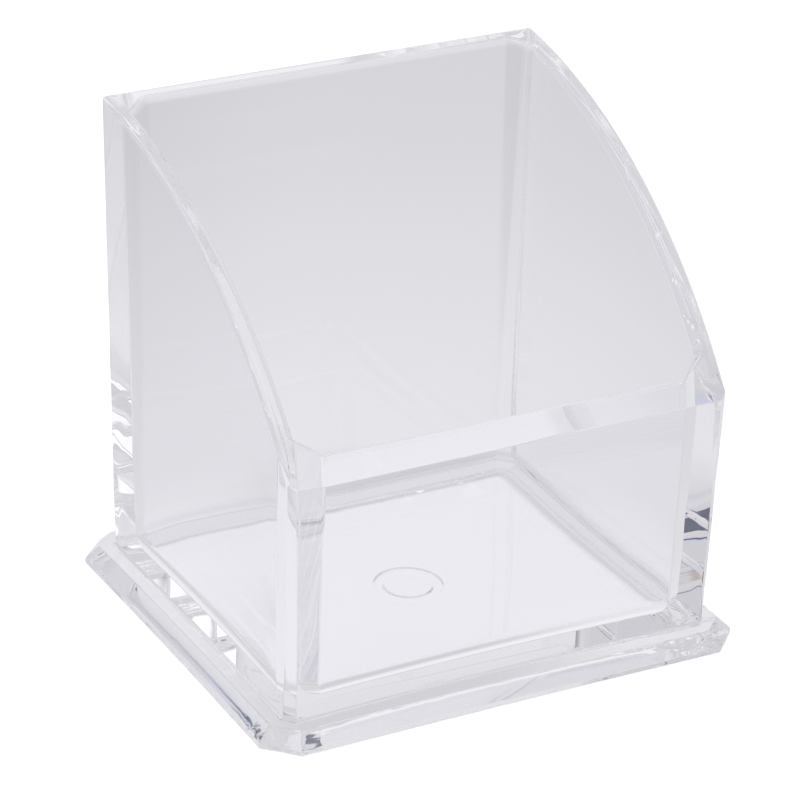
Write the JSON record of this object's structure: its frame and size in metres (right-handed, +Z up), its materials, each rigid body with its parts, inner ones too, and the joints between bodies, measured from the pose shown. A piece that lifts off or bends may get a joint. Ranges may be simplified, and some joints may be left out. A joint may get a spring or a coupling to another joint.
{
  "type": "acrylic storage box",
  "caption": "Clear open-topped acrylic box with a tall back, a low front, side walls that fall in an arc, and a wider bevelled base.",
  "frame": {"origin": "centre of the underside of the base plate, on the table", "axes": "+Z up, -Y towards the low front wall, +Y towards the tall back wall, +X to the right seen from the front"},
  "size_m": [0.09, 0.0794, 0.0869],
  "materials": {
    "clear_acrylic": "polished, colourless, see-through",
    "cured_cement": "clear, slightly uneven"
  },
  "bodies": {
    "root": {"base_plate": "clear_acrylic", "box_body": "clear_acrylic", "cement_bond": "cured_cement"}
  },
  "joints": []
}
